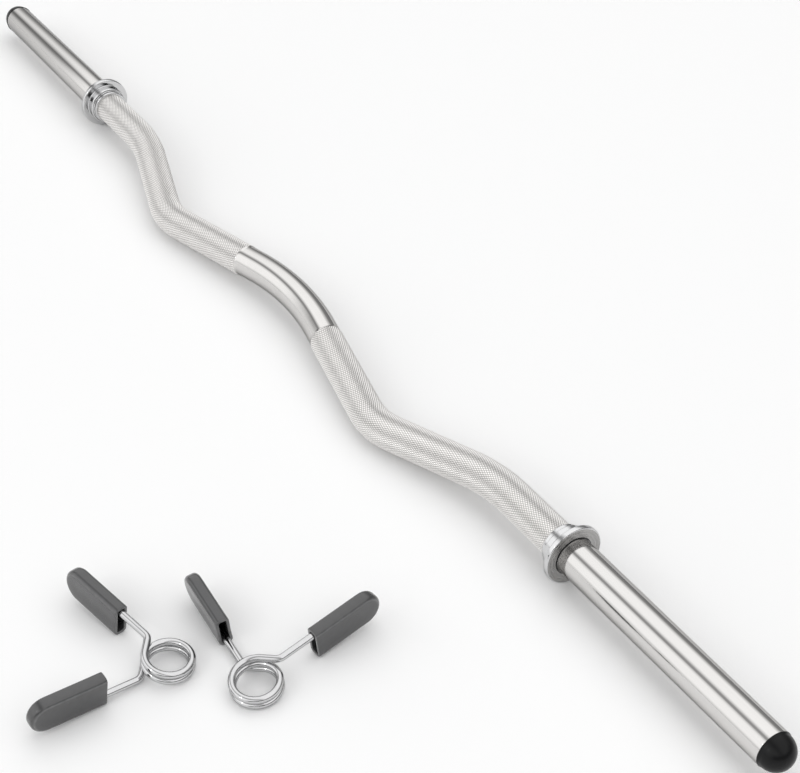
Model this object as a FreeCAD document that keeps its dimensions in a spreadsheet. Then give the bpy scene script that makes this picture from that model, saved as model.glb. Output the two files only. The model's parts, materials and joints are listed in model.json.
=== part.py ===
import FreeCAD, Part
import math
import os
import re
import Sketcher

# A cambered curl bar: a bent, knurled shaft with two turning sleeves, and the pair of
# wire spring clips that hold its plates on. X runs along the sleeves, Z is up, and the
# bar lies on the floor on its two inner collars and the two valleys of its bend.

Vector = FreeCAD.Vector
Rotation = FreeCAD.Rotation
Placement = FreeCAD.Placement
X_WAY, Y_WAY, Z_WAY = Vector(1, 0, 0), Vector(0, 1, 0), Vector(0, 0, 1)

doc = FreeCAD.newDocument("curl_bar")

# Driving dimensions, in millimetres and degrees
SIZES = (
    ("bar_length", 1200, "cap tip to cap tip"),
    ("collar_span", 760, "between the outer faces of the inner collars"),
    ("shaft_diameter", 26.5, "smooth centre of the shaft"),
    ("knurl_diameter", 27.5, "over the knurl"),
    ("smooth_length", 134, "smooth centre, along X"),
    ("apex_radius", 260, "bend radius at the centre"),
    ("inner_slope_angle", 11.63, "straight between centre and valley, off the sleeve axis"),
    ("valley_radius", 70, "bend radius at the valley"),
    ("outer_run", 73.7, "straight between valley and outer bend"),
    ("outer_slope_angle", 17.96, "straight between valley and outer bend, off the sleeve axis"),
    ("outer_bend_radius", 155, "bend radius beside the inner collar"),
    ("end_run", 54.5, "straight between outer bend and inner collar"),
    ("flange_diameter", 46, "inner collar, plate stop"),
    ("flange_thickness", 4, "inner collar, plate stop"),
    ("flange_edge", 0.8, "inner collar, rim chamfer"),
    ("hub_length", 8, "inner collar, hub"),
    ("hub_step", 2, "inner collar, hub over neck"),
    ("neck_length", 4, "inner collar, neck"),
    ("neck_step", 1.75, "inner collar, neck over knurl"),
    ("recess_depth", 2, "inner collar, recess round the sleeve's root"),
    ("recess_clearance", 0.8, "inner collar, recess round the sleeve's root, radial"),
    ("seat_step", 1.25, "shaft, seat of the inner collar below the smooth bar"),
    ("sleeve_diameter", 27, "sleeve, outside"),
    ("sleeve_wall", 2.8, "sleeve tube wall"),
    ("sleeve_edge", 0.6, "sleeve, end chamfer"),
    ("bush_length", 30, "bush"),
    ("bush_wall", 1.6, "bush wall"),
    ("bush_edge", 0.4, "bush, end chamfer"),
    ("fit_clearance", 0.02, "pressed seats, radial"),
    ("running_clearance", 0.05, "journal in its bushes, radial"),
    ("washer_clearance", 0.15, "washers on the shaft, radial"),
    ("end_play", 0.1, "sleeve, each way along the shaft"),
    ("thrust_thickness", 1.5, "thrust washer"),
    ("thrust_clearance", 0.2, "thrust washer in the collar's recess, radial"),
    ("stop_depth", 33, "journal shoulder, in from the tube's end"),
    ("stop_step", 3, "journal's end shoulder, above the shaft end"),
    ("spigot_edge", 0.8, "shaft end chamfer"),
    ("spigot_lip", 3, "shaft end beyond the ring's groove"),
    ("retainer_thickness", 1.5, "retaining washer"),
    ("retainer_inset", 0.5, "retaining washer, rim below the tube's bore"),
    ("groove_depth", 0.5, "groove of the retaining ring"),
    ("ring_thickness", 1, "retaining ring"),
    ("ring_room", 0.1, "groove over the ring's thickness"),
    ("ring_rise", 1.5, "retaining ring, back above the spigot"),
    ("ring_offset", 0.4, "retaining ring, outer round off centre"),
    ("ring_gap", 3.2, "retaining ring, open gap"),
    ("ear_radius", 1.5, "retaining ring, ears"),
    ("ear_hole", 0.7, "retaining ring, hole radius in the ears"),
    ("cap_height", 15, "end cap beyond the tube"),
    ("cap_brow", 1.65, "end cap, straight side below the dome"),
    ("cap_inset", 0.15, "end cap, side below the sleeve's outside"),
    ("cap_stem_length", 12, "end cap, stem in the tube"),
    ("cap_rib_clearance", 0.1, "end cap, ribs below the tube's bore"),
    ("cap_rib_height", 0.6, "end cap, ribs round the stem"),
    ("wire_diameter", 5, "clip spring wire"),
    ("coil_bite", 0.6, "clip coil bore below the sleeve's outside"),
    ("coil_gap", 0.6, "clip coil, between turns"),
    ("coil_run", 9.5, "clip wire, straight from coil to bend"),
    ("leg_bend_radius", 7, "clip wire, bend into the leg"),
    ("leg_length", 24, "clip wire, bend to grip"),
    ("splay_angle", 80, "clip legs, between them"),
    ("hairpin_return", 26, "clip wire, straight back inside the grip"),
    ("grip_length", 54, "clip grip"),
    ("grip_height", 25, "clip grip"),
    ("grip_wall", 2.2, "clip grip"),
    ("grip_clearance", 0.3, "clip grip round its wire"),
    ("grip_edge", 3.2, "clip grip, rounded edges"),
    ("right_clip_reach", 352, "right clip's coil, along the bar from its middle"),
    ("right_clip_offset", 233.5, "right clip's coil, out from the sleeve axis"),
    ("right_clip_angle", 137.5, "right clip, heading of its grips"),
    ("clip_pair_reach", 48.5, "between the clips' coils, along the bar"),
    ("clip_pair_offset", 39.5, "between the clips' coils, out from the bar"),
    ("left_clip_angle", 234, "left clip, heading of its grips"),
    ("floor_gap", 0.25, "clips above the floor"),
)

# Even spaces along an end cap's stem, with a rib in every other one
RIB_SPACES = 6

# Places and radii that follow from the driving dimensions
DERIVED = {
    "axis_height": "flange_diameter / 2",
    "face_x": "collar_span / 2",
    "flange_x": "face_x - flange_thickness",
    "hub_x": "flange_x - hub_length",
    "shoulder_x": "hub_x - neck_length",
    "tube_end_x": "bar_length / 2 - cap_height",
    "knurl_x": "smooth_length / 2",
    "outer_bend_x": "shoulder_x - end_run",
    "outer_bend_fall": "(outer_bend_radius + valley_radius) * (1 - cos(outer_slope_angle))",
    "valley_depth": "outer_bend_fall + outer_run * sin(outer_slope_angle)",
    "outer_bend_width": "(outer_bend_radius + valley_radius) * sin(outer_slope_angle)",
    "valley_x": "outer_bend_x - outer_bend_width - outer_run * cos(outer_slope_angle)",
    "inner_bend_width": "(valley_radius + apex_radius) * sin(inner_slope_angle)",
    "inner_run": "(valley_x - inner_bend_width) / cos(inner_slope_angle)",
    "inner_bend_rise": "(valley_radius + apex_radius) * (1 - cos(inner_slope_angle))",
    "apex_drop": "valley_depth - inner_bend_rise - inner_run * sin(inner_slope_angle)",
    "seat_radius": "shaft_diameter / 2 - seat_step",
    "neck_radius": "knurl_diameter / 2 + neck_step",
    "hub_radius": "neck_radius + hub_step",
    "sleeve_radius": "sleeve_diameter / 2",
    "tube_bore": "sleeve_radius - sleeve_wall",
    "bush_radius": "tube_bore - fit_clearance",
    "bush_bore": "bush_radius - bush_wall",
    "journal_radius": "bush_bore - running_clearance",
    "recess_x": "face_x - recess_depth",
    "recess_radius": "sleeve_radius + recess_clearance",
    "thrust_x": "recess_x + thrust_thickness",
    "thrust_radius": "recess_radius - thrust_clearance",
    "sleeve_x": "thrust_x + end_play",
    "stop_x": "tube_end_x - stop_depth",
    "spigot_radius": "journal_radius - stop_step",
    "groove_radius": "spigot_radius - groove_depth",
    "groove_x": "stop_x + retainer_thickness",
    "groove_end_x": "groove_x + ring_thickness + ring_room",
    "spigot_x": "groove_end_x + spigot_lip",
    "ring_bore": "groove_radius + fit_clearance",
    "ring_radius": "spigot_radius + ring_rise - ring_offset",
    "ear_reach": "ring_bore + ear_radius",
    "cap_radius": "sleeve_radius - cap_inset",
    "dome_height": "cap_height - cap_brow",
    "dome_radius": "(cap_radius ^ 2 + dome_height ^ 2) / (2 * dome_height)",
    "rib_radius": "tube_bore - cap_rib_clearance",
    "stem_radius": "rib_radius - cap_rib_height",
    "rib_step": "cap_stem_length / %d" % RIB_SPACES,
    "coil_radius": "sleeve_radius - coil_bite / 2 + wire_diameter / 2",
    "coil_pitch": "wire_diameter + coil_gap",
    "cavity_height": "grip_height - 2 * grip_wall",
    "cavity_thickness": "wire_diameter + 2 * grip_clearance",
    "grip_thickness": "cavity_thickness + 2 * grip_wall",
    "hairpin_radius": "cavity_height / 2 - grip_clearance - wire_diameter / 2",
    "right_clip_x": "right_clip_reach",
    "right_clip_y": "-right_clip_offset",
    "left_clip_x": "right_clip_reach - clip_pair_reach",
    "left_clip_y": "-right_clip_offset - clip_pair_offset",
}

sheet = doc.addObject("Spreadsheet::Sheet", "sizes")
for row, (alias, number, note) in enumerate(SIZES, 1):
    sheet.set("A%d" % row, note)
    sheet.set("B%d" % row, str(number))
    sheet.setAlias("B%d" % row, alias)
doc.recompute()


def bound(text):
    """The sheet's expression for a text in named sizes."""
    def spell(match):
        name = match.group(0)
        return "(%s)" % bound(DERIVED[name]) if name in DERIVED else "sizes." + name
    return re.sub(r"[a-z_]*_[a-z_]*", spell, text)


def value(text):
    """The number that a text in named sizes comes to."""
    return float(sheet.evalExpression(bound(text)))


def bind(item, **sizes):
    """Bind an object's properties to the sheet."""
    for name, text in sizes.items():
        item.setExpression(name.replace("__", "."), bound(text))
    return item


def origin_plane(body, role):
    return next(item for item in body.Origin.OriginFeatures if item.Role == role)


def new_sketch(body, name, role):
    sketch = body.newObject("Sketcher::SketchObject", name)
    sketch.AttachmentSupport = [(origin_plane(body, role), "")]
    sketch.MapMode = "FlatFace"
    return sketch


def drive(sketch, kind, *ids, by):
    """A dimension of the sketch, driven by a text in named sizes."""
    index = sketch.addConstraint(Sketcher.Constraint(kind, *ids, value(by)))
    sketch.setExpression("Constraints[%d]" % index, bound(by))


def tie(sketch, kind, *ids):
    sketch.addConstraint(Sketcher.Constraint(kind, *ids))


TOLERANCE_SHARE = 0.1
sketch_tolerance = value("fit_clearance") * TOLERANCE_SHARE
# A sketch's own indices: the points of a line or arc, and its origin and axes
START, END, CENTRE = range(1, 4)
H_AXIS, V_AXIS = range(-1, -3, -1)
ROOT = H_AXIS


def place(sketch, geometry, point, across, up):
    """Hold a sketch point at two texts in named sizes."""
    for kind, axis, text in (("DistanceX", V_AXIS, across), ("DistanceY", H_AXIS, up)):
        if text == "0":
            tie(sketch, "PointOnObject", geometry, point, axis)
        else:
            drive(sketch, kind, ROOT, START, geometry, point, by=text)


def draw_outline(sketch, outline):
    """A closed clockwise outline of (across, up) texts; a third text rounds the side before it."""
    spots = [Vector(value(point[0]), value(point[1]), 0) for point in outline]
    for index, point in enumerate(outline):
        here, there = spots[index - 1], spots[index]
        if len(point) == 3:
            reach = value(point[2])
            chord = there - here
            side = Vector(chord.y, -chord.x, 0).normalize()
            sagitta = reach - math.sqrt(max(reach ** 2 - (chord.Length / 2) ** 2, 0))
            crown = (here + there) * 0.5 - side * sagitta
            sketch.addGeometry(Part.Arc(here, crown, there), False)
        else:
            sketch.addGeometry(Part.LineSegment(here, there), False)
    for index, point in enumerate(outline):
        after = (index + 1) % len(outline)
        ends = []
        for side, spot in ((index, spots[index]), (after, spots[index])):
            starts_here = sketch.getPoint(side, START).isEqual(spot, sketch_tolerance)
            ends.append((side, START if starts_here else END))
        tie(sketch, "Coincident", *ends[0], *ends[1])
        place(sketch, *ends[0], point[0], point[1])
        if len(point) == 3:
            drive(sketch, "Radius", index, by=point[2])


def turn_outline(body, name, outline):
    """Revolve an outline of (along X, radius) texts about the X axis."""
    sketch = new_sketch(body, name + "_outline", "XY_Plane")
    draw_outline(sketch, outline)
    turned = body.newObject("PartDesign::Revolution", name + "_turned")
    turned.Profile = sketch
    turned.ReferenceAxis = (sketch, ["H_Axis"])
    turned.Angle = 360
    return turned


nodes = []


def new_body(label):
    body = doc.addObject("PartDesign::Body", label)
    nodes.append(body)
    return body


# The two ends of the bar: the right end points along X, the left one is turned about
ENDS = (("left", 180), ("right", 0))
axis_spot = Vector(0, 0, value("axis_height"))


def at_end(turn):
    return Placement(axis_spot, Rotation(Z_WAY, turn))


def turned_pair(label, outline):
    """The same turned piece at each end of the bar."""
    for side, turn in ENDS:
        body = new_body("%s_%s" % (side, label))
        turn_outline(body, body.Name, outline)
        body.Placement = at_end(turn)


def ring_outline(start, end, bore, radius, edge):
    """A plain ring with its outer rims chamfered."""
    return [(start, bore), (start, "%s - %s" % (radius, edge)), ("%s + %s" % (start, edge), radius),
            ("%s - %s" % (end, edge), radius), (end, "%s - %s" % (radius, edge)), (end, bore)]


# Shaft: half of the bend line, from the middle of the bar to the collar's seat
def on_round(centre, radius, angle):
    """The spot on a round at an angle from the way up, turned towards X."""
    return centre + Vector(math.sin(angle), math.cos(angle), 0) * radius


def arc_between(centre, radius, start, end):
    circle = Part.Circle(centre, Z_WAY, radius)
    angles = [math.atan2(spot.y - centre.y, spot.x - centre.x) for spot in (start, end)]
    return Part.ArcOfCircle(circle, *angles)


def draw_bend_line(sketch):
    apex_radius, valley_radius = value("apex_radius"), value("valley_radius")
    outer_radius = value("outer_bend_radius")
    inner_slope = math.radians(value("inner_slope_angle"))
    outer_slope = math.radians(value("outer_slope_angle"))
    apex = Vector(0, -value("apex_drop"), 0)
    apex_centre = apex - Y_WAY * apex_radius
    valley_centre = Vector(value("valley_x"), valley_radius - value("valley_depth"), 0)
    outer_top = Vector(value("outer_bend_x"), 0, 0)
    outer_centre = outer_top - Y_WAY * outer_radius
    leave_apex = on_round(apex_centre, apex_radius, inner_slope)
    meet_valley = on_round(valley_centre, -valley_radius, inner_slope)
    leave_valley = on_round(valley_centre, -valley_radius, -outer_slope)
    meet_outer = on_round(outer_centre, outer_radius, -outer_slope)
    share = (value("knurl_x") - leave_apex.x) / (meet_valley.x - leave_apex.x)
    knurl_start = leave_apex + (meet_valley - leave_apex) * share
    sketch.addGeometry(arc_between(apex_centre, apex_radius, leave_apex, apex), False)
    sketch.addGeometry(Part.LineSegment(leave_apex, knurl_start), False)
    sketch.addGeometry(Part.LineSegment(knurl_start, meet_valley), False)
    sketch.addGeometry(arc_between(valley_centre, valley_radius, meet_valley, leave_valley), False)
    sketch.addGeometry(Part.LineSegment(leave_valley, meet_outer), False)
    sketch.addGeometry(arc_between(outer_centre, outer_radius, outer_top, meet_outer), False)
    sketch.addGeometry(Part.LineSegment(outer_top, Vector(value("shoulder_x"), 0, 0)), False)
    apex_arc, smooth_run, knurl_run, valley_arc, grip_run, outer_arc, end_run = range(7)
    for ends in ((apex_arc, START, smooth_run, START), (smooth_run, END, knurl_run, START),
                 (knurl_run, END, valley_arc, START), (valley_arc, END, grip_run, START),
                 (grip_run, END, outer_arc, END), (outer_arc, START, end_run, START)):
        tie(sketch, "Tangent", *ends)
    tie(sketch, "PointOnObject", apex_arc, CENTRE, V_AXIS)
    tie(sketch, "PointOnObject", apex_arc, END, V_AXIS)
    tie(sketch, "PointOnObject", end_run, START, H_AXIS)
    tie(sketch, "PointOnObject", end_run, END, H_AXIS)
    drive(sketch, "Radius", apex_arc, by="apex_radius")
    drive(sketch, "DistanceY", apex_arc, END, ROOT, START, by="apex_drop")
    drive(sketch, "DistanceX", ROOT, START, smooth_run, END, by="knurl_x")
    drive(sketch, "Radius", valley_arc, by="valley_radius")
    drive(sketch, "DistanceX", ROOT, START, valley_arc, CENTRE, by="valley_x")
    drive(sketch, "DistanceY", ROOT, START, valley_arc, CENTRE, by="valley_radius - valley_depth")
    drive(sketch, "Radius", outer_arc, by="outer_bend_radius")
    drive(sketch, "DistanceX", ROOT, START, outer_arc, CENTRE, by="outer_bend_x")
    drive(sketch, "DistanceX", ROOT, START, end_run, END, by="shoulder_x")


def section_pipe(body, name, section, path, low, high):
    """Sweep a section along the edges of a path that lie between two places on X."""
    names = ["Edge%d" % (index + 1) for index, edge in enumerate(path.Shape.Edges)
             if low <= edge.CenterOfMass.x <= high]
    pipe = body.newObject("PartDesign::AdditivePipe", name)
    pipe.Profile = section
    pipe.Spine = (path, names)
    return pipe


shaft = new_body("shaft")
bend_line = new_sketch(shaft, "bend_line", "XY_Plane")
draw_bend_line(bend_line)

smooth_section = new_sketch(shaft, "smooth_section", "YZ_Plane")
smooth_section.addGeometry(Part.Circle(Vector(-value("apex_drop"), 0, 0), Z_WAY, value("shaft_diameter / 2")))
tie(smooth_section, "PointOnObject", 0, CENTRE, H_AXIS)
drive(smooth_section, "DistanceX", 0, CENTRE, ROOT, START, by="apex_drop")
drive(smooth_section, "Radius", 0, by="shaft_diameter / 2")

knurl_section = new_sketch(shaft, "knurl_section", "YZ_Plane")
knurl_section.AttachmentOffset = Placement(Vector(0, 0, value("shoulder_x")), Rotation())
bind(knurl_section, AttachmentOffset__Base__z="shoulder_x")
knurl_section.addGeometry(Part.Circle(Vector(), Z_WAY, value("knurl_diameter / 2")))
tie(knurl_section, "Coincident", 0, CENTRE, ROOT, START)
drive(knurl_section, "Radius", 0, by="knurl_diameter / 2")
doc.recompute()

knurl_start = value("knurl_x")
smooth_half = section_pipe(shaft, "smooth_half", smooth_section, bend_line, 0, knurl_start)
knurl_half = section_pipe(shaft, "knurl_half", knurl_section, bend_line, knurl_start, value("shoulder_x"))
journal = turn_outline(shaft, "journal", [
    ("shoulder_x", "0"), ("shoulder_x", "seat_radius"), ("recess_x", "seat_radius"),
    ("recess_x", "journal_radius"), ("stop_x", "journal_radius"), ("stop_x", "spigot_radius"),
    ("groove_x", "spigot_radius"), ("groove_x", "groove_radius"), ("groove_end_x", "groove_radius"),
    ("groove_end_x", "spigot_radius"), ("spigot_x - spigot_edge", "spigot_radius"),
    ("spigot_x", "spigot_radius - spigot_edge"), ("spigot_x", "0")])
both_halves = shaft.newObject("PartDesign::Mirrored", "both_halves")
both_halves.Originals = [smooth_half, knurl_half, journal]
both_halves.MirrorPlane = (origin_plane(shaft, "YZ_Plane"), [""])
shaft.Tip = both_halves
# The bend leans until its valleys reach the floor that the inner collars stand on
lean = math.degrees(math.asin(value("(flange_diameter - knurl_diameter) / 2 / valley_depth")))
shaft.Placement = Placement(axis_spot, Rotation(X_WAY, lean))

# Inner collars: a plate stop with a stepped hub and a recess for the sleeve's root, pressed on
turned_pair("inner_collar", [
    ("shoulder_x", "seat_radius + fit_clearance"), ("shoulder_x", "neck_radius - flange_edge"),
    ("shoulder_x + flange_edge", "neck_radius"), ("hub_x", "neck_radius"),
    ("hub_x", "hub_radius - flange_edge"), ("hub_x + flange_edge", "hub_radius"),
    ("flange_x", "hub_radius"), ("flange_x", "flange_diameter / 2 - flange_edge"),
    ("flange_x + flange_edge", "flange_diameter / 2"), ("face_x - flange_edge", "flange_diameter / 2"),
    ("face_x", "flange_diameter / 2 - flange_edge"), ("face_x", "recess_radius"),
    ("recess_x", "recess_radius"), ("recess_x", "seat_radius + fit_clearance")])

# Thrust washers in those recesses, between the collars and the turning sleeves
turned_pair("thrust_washer", [
    ("recess_x", "journal_radius + washer_clearance"), ("recess_x", "thrust_radius"),
    ("thrust_x", "thrust_radius"), ("thrust_x", "journal_radius + washer_clearance")])

# Sleeves and the bushes pressed into them
turned_pair("sleeve", ring_outline("sleeve_x", "tube_end_x", "tube_bore", "sleeve_radius", "sleeve_edge"))
turned_pair("inner_bush", ring_outline("sleeve_x", "sleeve_x + bush_length", "bush_bore", "bush_radius",
                                       "bush_edge"))
turned_pair("outer_bush", ring_outline("stop_x - end_play - bush_length", "stop_x - end_play", "bush_bore",
                                       "bush_radius", "bush_edge"))

# Retaining washers on the spigots, against the journal's shoulder
turned_pair("retaining_washer", [
    ("stop_x", "spigot_radius + washer_clearance"), ("stop_x", "tube_bore - retainer_inset"),
    ("groove_x", "tube_bore - retainer_inset"), ("groove_x", "spigot_radius + washer_clearance")])


# Retaining rings: open spring rings with an eared gap, sprung into the spigots' grooves
def ring_cylinder(name, radius, across="0", up="0"):
    cylinder = bind(doc.addObject("Part::Cylinder", name), Radius=radius, Height="ring_thickness")
    return bind(cylinder, Placement__Base__x=across, Placement__Base__y=up)


def joined(kind, name, pieces):
    item = doc.addObject(kind, name)
    if kind == "Part::Cut":
        item.Base, item.Tool = pieces
    else:
        item.Shapes = pieces
    return item


def retaining_ring(label):
    outer = ring_cylinder(label + "_round", "ring_radius", up="-ring_offset")
    ear_places = [("-(ring_gap / 2 + ear_radius)", "left"), ("ring_gap / 2 + ear_radius", "right")]
    ears = [ring_cylinder("%s_%s_ear" % (label, side), "ear_radius", across, "ear_reach")
            for across, side in ear_places]
    holes = [ring_cylinder("%s_%s_hole" % (label, side), "ear_hole", across, "ear_reach")
             for across, side in ear_places]
    gap = doc.addObject("Part::Box", label + "_gap")
    bind(gap, Length="ring_gap", Width="ear_reach + ear_radius", Height="ring_thickness",
         Placement__Base__x="-ring_gap / 2")
    solid = joined("Part::MultiFuse", label + "_solid", [outer, *ears])
    inner = ring_cylinder(label + "_bore", "ring_bore")
    waste = joined("Part::MultiFuse", label + "_waste", [inner, gap, *holes])
    return joined("Part::Cut", label, [solid, waste])


for side, turn in ENDS:
    ring = retaining_ring(side + "_retaining_ring")
    ring.Label = side + "_retaining_ring"
    upright = Placement(Vector(value("groove_x"), 0, 0), Rotation(Y_WAY, 90))
    ring.Placement = at_end(turn).multiply(upright)
    nodes.append(ring)

# End caps: a rubber dome on a ribbed stem that plugs the tube
ribs = []
for space in range(1, RIB_SPACES - 1, 2):
    foot = "tube_end_x - cap_stem_length + %d * rib_step" % space
    ribs += [(foot, "stem_radius"), (foot + " + rib_step / 2", "rib_radius"),
             (foot + " + rib_step", "stem_radius")]
turned_pair("end_cap", [
    ("tube_end_x - cap_stem_length", "0"), ("tube_end_x - cap_stem_length", "stem_radius"), *ribs,
    ("tube_end_x", "stem_radius"), ("tube_end_x", "cap_radius"), ("tube_end_x + cap_brow", "cap_radius"),
    ("tube_end_x + cap_height", "0", "dome_radius")])


# Spring clips: one wire each, wound twice round, with legs that cross and end in hairpins
def bend(start, corner, end):
    """The arc that leaves start and reaches end along the two sides of a corner."""
    middle = (start + end) * 0.5
    half = start.distanceToPoint(end) / 2
    rise = corner.distanceToPoint(middle)
    crown = middle + (corner - middle).normalize() * half * math.tan(math.atan2(rise, half) / 2)
    return Part.Arc(start, crown, end).toShape()


def biarc(start, start_way, end, end_way):
    """Two arcs in one smooth line from start to end, along the given ways."""
    span, ways = end - start, start_way + end_way
    spread = 2 * (1 - start_way.dot(end_way))
    along = span.dot(ways)
    reach = (math.sqrt(along ** 2 + spread * span.dot(span)) - along) / spread
    first, second = start + start_way * reach, end - end_way * reach
    middle = (first + second) * 0.5
    return [bend(start, first, middle), bend(middle, second, end)]


wire_radius = value("wire_diameter / 2")
coil_radius, coil_pitch = value("coil_radius"), value("coil_pitch")
hairpin_radius = value("hairpin_radius")
half_splay = math.radians(value("splay_angle / 2"))
LEG_WAY = Vector(math.cos(half_splay), -math.sin(half_splay), 0)
QUARTERS = 4


def coil_spot(share):
    """Place and heading on the upper turn of the coil, wound backwards as it climbs."""
    angle = -2 * math.pi * share
    spot = Vector(coil_radius * math.cos(angle), coil_radius * math.sin(angle), coil_pitch * share)
    way = Vector(math.sin(angle), -math.cos(angle), coil_pitch / (2 * math.pi * coil_radius))
    return spot, way.normalize()


def wire_half():
    """Edges of the upper half of the wire, from mid coil to its end, and the leg's two ends."""
    edges = []
    for step in range(QUARTERS):
        edges += biarc(*coil_spot(step / QUARTERS), *coil_spot((step + 1) / QUARTERS))
    leave, way = coil_spot(1)
    turn = way.getAngle(LEG_WAY)
    set_back = value("leg_bend_radius") * math.tan(turn / 2)
    run_end = leave + way * value("coil_run")
    corner = run_end + way * set_back
    leg_start = corner + LEG_WAY * set_back
    mouth = leg_start + LEG_WAY * value("leg_length")
    hairpin = mouth + LEG_WAY * value("grip_length - grip_height / 2")
    drop = Z_WAY * 2 * hairpin_radius
    crown = hairpin + LEG_WAY * hairpin_radius - drop * 0.5
    edges.append(Part.makeLine(leave, run_end))
    edges.append(bend(run_end, corner, leg_start))
    edges.append(Part.makeLine(leg_start, hairpin))
    edges.append(Part.Arc(hairpin, crown, hairpin - drop).toShape())
    edges.append(Part.makeLine(hairpin - drop, hairpin - drop - LEG_WAY * value("hairpin_return")))
    return edges, mouth


def flipped(edges):
    """The other half of the wire: the same line, turned over about the clip's own X axis."""
    turned_over = [edge.copy() for edge in edges]
    for edge in turned_over:
        edge.rotate(Vector(), X_WAY, 180)
    return turned_over


def least_gap(points):
    """Least clear space between stretches of the wire that aren't neighbours along it."""
    step = points[0].distanceToPoint(points[1])
    skip = math.ceil(2 * math.pi * value("wire_diameter") / step)
    spaces = (first.distanceToPoint(second) for index, first in enumerate(points)
              for second in points[index + skip:])
    return min(spaces) - value("wire_diameter")


half_edges, grip_mouth = wire_half()
wire_path = Part.Wire(Part.__sortEdges__(flipped(half_edges) + half_edges))
first_edge = wire_path.OrderedEdges[0]
wire_start = wire_path.OrderedVertexes[0].Point
start_way = first_edge.tangentAt(first_edge.FirstParameter)
section = Part.Wire([Part.makeCircle(wire_radius, wire_start, start_way)])
sweep = Part.BRepOffsetAPI.MakePipeShell(wire_path)
sweep.add(section)
sweep.build()
sweep.makeSolid()
spring_shape = sweep.shape()
path_points = wire_path.discretize(Number=round(wire_path.Length / wire_radius))
print("spring wire: length %.1f, least gap %.3f, volume over section times length %.4f" % (
    wire_path.Length, least_gap(path_points),
    spring_shape.Volume / (math.pi * wire_radius ** 2 * wire_path.Length)))

# A clip rests on the far side of its coil and on the inner corners of its two grips
grip_rise = grip_mouth.z - hairpin_radius
grip_drop = value("grip_height / 2")
coil_foot = Vector(-coil_radius, 0, -coil_pitch / 2 - wire_radius)
upper_foot = Vector(grip_mouth.x, grip_mouth.y, grip_rise - grip_drop)
lower_foot = Vector(grip_mouth.x, -grip_mouth.y, -grip_rise - grip_drop)
floor_way = (upper_foot - coil_foot).cross(lower_foot - coil_foot).normalize()
stance = Rotation(floor_way, Z_WAY)


def clip_place(side):
    turn = Rotation(Z_WAY, value(side + "_clip_angle")).multiply(stance)
    height = value("floor_gap") - turn.multVec(coil_foot).z
    return Placement(Vector(value(side + "_clip_x"), value(side + "_clip_y"), height), turn)


def grip_outline(start, end, half_height):
    """A flat-ended tongue along X with a round far end."""
    shoulder = "%s - %s" % (end, half_height)
    return [(start, "-" + half_height), (start, half_height), (shoulder, half_height),
            (end, "0", half_height), (shoulder, "-" + half_height, half_height)]


def make_grip(label):
    """A flat PVC pouch along X, open at its mouth, with a round end and soft edges."""
    body = new_body(label)
    outline = new_sketch(body, label + "_outline", "XZ_Plane")
    draw_outline(outline, grip_outline("0", "grip_length", "(grip_height / 2)"))
    tongue = body.newObject("PartDesign::Pad", label + "_tongue")
    tongue.Profile = outline
    tongue.SideType = "Symmetric"
    bind(tongue, Length="grip_thickness")
    doc.recompute()
    rims = ["Edge%d" % (index + 1) for index, edge in enumerate(tongue.Shape.Edges)
            if edge.BoundBox.YLength < sketch_tolerance and edge.BoundBox.XMax > sketch_tolerance]
    soft = body.newObject("PartDesign::Fillet", label + "_soft")
    soft.Base = (tongue, rims)
    bind(soft, Radius="grip_edge")
    cavity_line = new_sketch(body, label + "_cavity_line", "XZ_Plane")
    draw_outline(cavity_line, grip_outline("-grip_wall", "grip_length - grip_wall", "(cavity_height / 2)"))
    cavity = body.newObject("PartDesign::Pocket", label + "_cavity")
    cavity.Profile = cavity_line
    cavity.SideType = "Symmetric"
    bind(cavity, Length="cavity_thickness")
    return body


for side in ("left", "right"):
    spring = doc.addObject("Part::Feature", side + "_clip_spring")
    spring.Shape = spring_shape.copy()
    spring.Placement = clip_place(side)
    nodes.append(spring)
    for level, sign in (("upper", 1), ("lower", -1)):
        grip = make_grip("%s_clip_%s_grip" % (side, level))
        mouth = Vector(grip_mouth.x, sign * grip_mouth.y, sign * grip_rise)
        heading = Rotation(Z_WAY, -sign * value("splay_angle / 2"))
        grip.Placement = clip_place(side).multiply(Placement(mouth, heading))
doc.recompute()


def check_document():
    """Stop at a failed object, or at a piece that isn't one sound solid."""
    for item in doc.Objects:
        if {"Invalid", "Error"} & set(item.State):
            raise RuntimeError("%s failed: %s" % (item.Name, item.State))
    for node in nodes:
        if node.Shape.isNull() or not node.Shape.isValid() or len(node.Shape.Solids) != 1:
            raise RuntimeError("%s has no sound solid" % node.Label)


check_document()

# The part's origin is on the floor, in the middle of the box that it fills
boxes = [node.Shape.optimalBoundingBox(False, False) for node in nodes]
middle = (min(box.YMin for box in boxes) + max(box.YMax for box in boxes)) / 2
for node in nodes:
    node.Placement = Placement(-Y_WAY * middle, Rotation()).multiply(node.Placement)
doc.recompute()
check_document()

os.makedirs("parts", exist_ok=True)
for node in nodes:
    node.Shape.exportStep("parts/%s.step" % node.Label)

# What the record states, in millimetres
print("sleeve axis at y %.3f z %.3f, lean %.3f" % (-middle, axis_spot.z, lean))
for side in ("left", "right"):
    seat = clip_place(side)
    print("%s clip axis through (%.3f, %.3f, %.3f) along (%.6f, %.6f, %.6f)" % (
        side, seat.Base.x, seat.Base.y - middle, seat.Base.z, *seat.Rotation.multVec(Z_WAY)))
for node in nodes:
    box = node.Shape.optimalBoundingBox(False, False)
    print("%-26s volume %9.1f  x %8.2f %8.2f  y %8.2f %8.2f  z %6.2f %6.2f" % (
        node.Label, node.Shape.Volume, box.XMin, box.XMax, box.YMin, box.YMax, box.ZMin, box.ZMax))
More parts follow.
